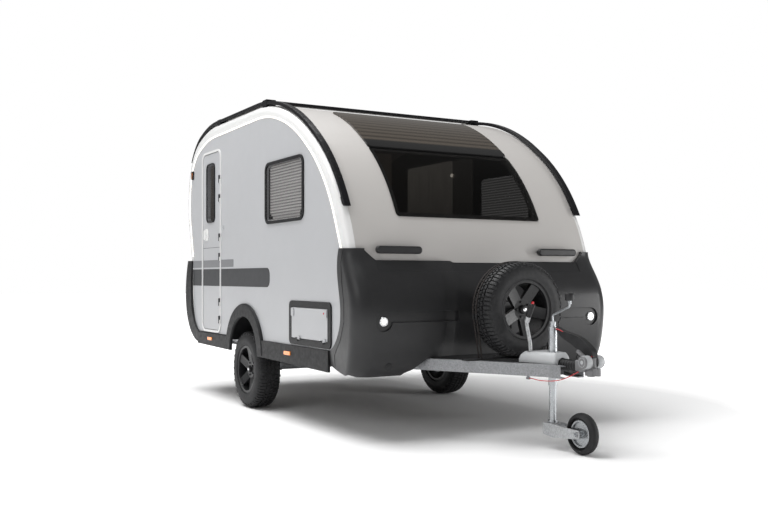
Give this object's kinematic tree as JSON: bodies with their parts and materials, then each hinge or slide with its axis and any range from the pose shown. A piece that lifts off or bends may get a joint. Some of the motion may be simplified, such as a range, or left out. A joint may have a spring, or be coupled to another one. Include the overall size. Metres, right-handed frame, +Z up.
{
  "type": "touring caravan",
  "caption": "Compact teardrop-profile touring caravan with a panoramic front window, side entrance door, spare wheel on the drawbar and a jockey wheel under the hitch.",
  "frame": {"origin": "centre of the overall box's footprint, on the ground under the road wheels and jockey wheel", "axes": "+X forward to the hitch, +Y to the vehicle's left, +Z up"},
  "size_m": [5.2234, 2.3612, 2.744],
  "materials": {
    "side_panel": "satin",
    "front_shell": "gloss",
    "edge_white": "gloss",
    "light_strip": "gloss",
    "tinted_glass": "gloss",
    "window_acrylic": "gloss",
    "blind_fabric": "matte",
    "black_trim": "satin",
    "bumper_plastic": "satin",
    "lamp_clear": "gloss",
    "lamp_red": "gloss",
    "lamp_amber": "gloss",
    "plate_white": "satin",
    "grip_plastic": "satin",
    "rail_plastic": "satin",
    "tyre_rubber": "matte",
    "wheel_black": "gloss",
    "galvanised": "satin",
    "cast_black": "satin",
    "gaiter_rubber": "matte",
    "coupling_grey": "satin",
    "cover_grey": "satin",
    "jockey_rubber": "matte",
    "strap_webbing": "matte",
    "interior_panel": "satin",
    "floor_ply": "matte",
    "door_panel": "satin",
    "red_cord": "gloss"
  },
  "bodies": {
    "caravan_body": {"axle": "galvanised", "blinds": "blind_fabric", "breakaway_cable": "red_cord", "cable_clip": "galvanised", "chassis_rails": "galvanised", "contour_lights": "light_strip", "coupling_handle": "cast_black", "coupling_head": "coupling_grey", "door_frame": "edge_white", "drawbar_arm_left": "galvanised", "drawbar_arm_right": "galvanised", "drawbar_cover": "cover_grey", "edge_trims": "edge_white", "floor": "floor_ply", "front_bumper": "bumper_plastic", "front_lamps": "lamp_clear", "front_panel": "front_shell", "front_window": "tinted_glass", "gaiter": "gaiter_rubber", "grab_handles": "grip_plastic", "handbrake_lever": "galvanised", "hatch_frame": "black_trim", "interior_wall": "interior_panel", "jockey_tube": "galvanised", "marker_lamps": "lamp_amber", "overrun_housing": "coupling_grey", "plate_panel": "plate_white", "rear_bumper": "bumper_plastic", "rear_lamps": "lamp_red", "rear_wall": "front_shell", "roof_panel": "front_shell", "roof_rails": "rail_plastic", "roof_window": "tinted_glass", "side_wall_left": "side_panel", "side_wall_right": "side_panel", "side_windows": "window_acrylic", "skirts": "bumper_plastic", "spare_carrier": "cast_black", "spare_rim": "wheel_black", "spare_straps": "strap_webbing", "spare_tyre": "tyre_rubber", "wheel_housings": "black_trim", "window_frames": "black_trim"},
    "wheel_right": {"tyre_right": "tyre_rubber", "rim_right": "wheel_black"},
    "wheel_left": {"tyre_left": "tyre_rubber", "rim_left": "wheel_black"},
    "door": {"door_leaf": "door_panel", "door_window": "window_acrylic", "door_handle": "edge_white"},
    "service_hatch": {"hatch_flap": "door_panel"},
    "jockey_leg": {"jockey_leg": "galvanised"},
    "jockey_fork": {"jockey_fork": "galvanised"},
    "jockey_wheel": {"jockey_tyre": "jockey_rubber", "jockey_hub": "galvanised"},
    "steady_front_right": {"steady_front_right": "galvanised"},
    "steady_front_left": {"steady_front_left": "galvanised"},
    "steady_rear_right": {"steady_rear_right": "galvanised"},
    "steady_rear_left": {"steady_rear_left": "galvanised"}
  },
  "joints": [
    {"name": "wheel_right_spin", "type": "hinge", "parent": "caravan_body", "child": "wheel_right", "pos_m": [-0.80434, -1.032, 0.35], "axis": [0, 1, 0], "continuous": true},
    {"name": "wheel_left_spin", "type": "hinge", "parent": "caravan_body", "child": "wheel_left", "pos_m": [-0.80434, 1.032, 0.35], "axis": [0, 1, 0], "continuous": true},
    {"name": "door_hinge", "type": "hinge", "parent": "caravan_body", "child": "door", "pos_m": [-1.44684, -1.163, 1.5], "axis": [0, 0, 1], "range_deg": [0, 165]},
    {"name": "hatch_hinge", "type": "hinge", "parent": "caravan_body", "child": "service_hatch", "pos_m": [0.60866, -1.17, 0.703], "axis": [1, 0, 0], "range_deg": [0, 95]},
    {"name": "jockey_lift", "type": "slide", "parent": "caravan_body", "child": "jockey_leg", "axis": [0, 0, 1], "range_m": [0, 0.19]},
    {"name": "jockey_swivel", "type": "hinge", "parent": "jockey_leg", "child": "jockey_fork", "pos_m": [2.14066, 0, 0.178], "axis": [0, 0, 1], "continuous": true},
    {"name": "jockey_wheel_spin", "type": "hinge", "parent": "jockey_fork", "child": "jockey_wheel", "pos_m": [2.44566, 0, 0.14], "axis": [0, 1, 0], "continuous": true},
    {"name": "steady_front_right_swing", "type": "hinge", "parent": "caravan_body", "child": "steady_front_right", "pos_m": [0.64566, -0.8, 0.546], "axis": [0, 1, 0], "range_deg": [0, 68]},
    {"name": "steady_front_left_swing", "type": "hinge", "parent": "caravan_body", "child": "steady_front_left", "pos_m": [0.64566, 0.8, 0.546], "axis": [0, 1, 0], "range_deg": [0, 68]},
    {"name": "steady_rear_right_swing", "type": "hinge", "parent": "caravan_body", "child": "steady_rear_right", "pos_m": [-1.54434, -0.8, 0.546], "axis": [0, -1, 0], "range_deg": [0, 68]},
    {"name": "steady_rear_left_swing", "type": "hinge", "parent": "caravan_body", "child": "steady_rear_left", "pos_m": [-1.54434, 0.8, 0.546], "axis": [0, -1, 0], "range_deg": [0, 68]}
  ]
}
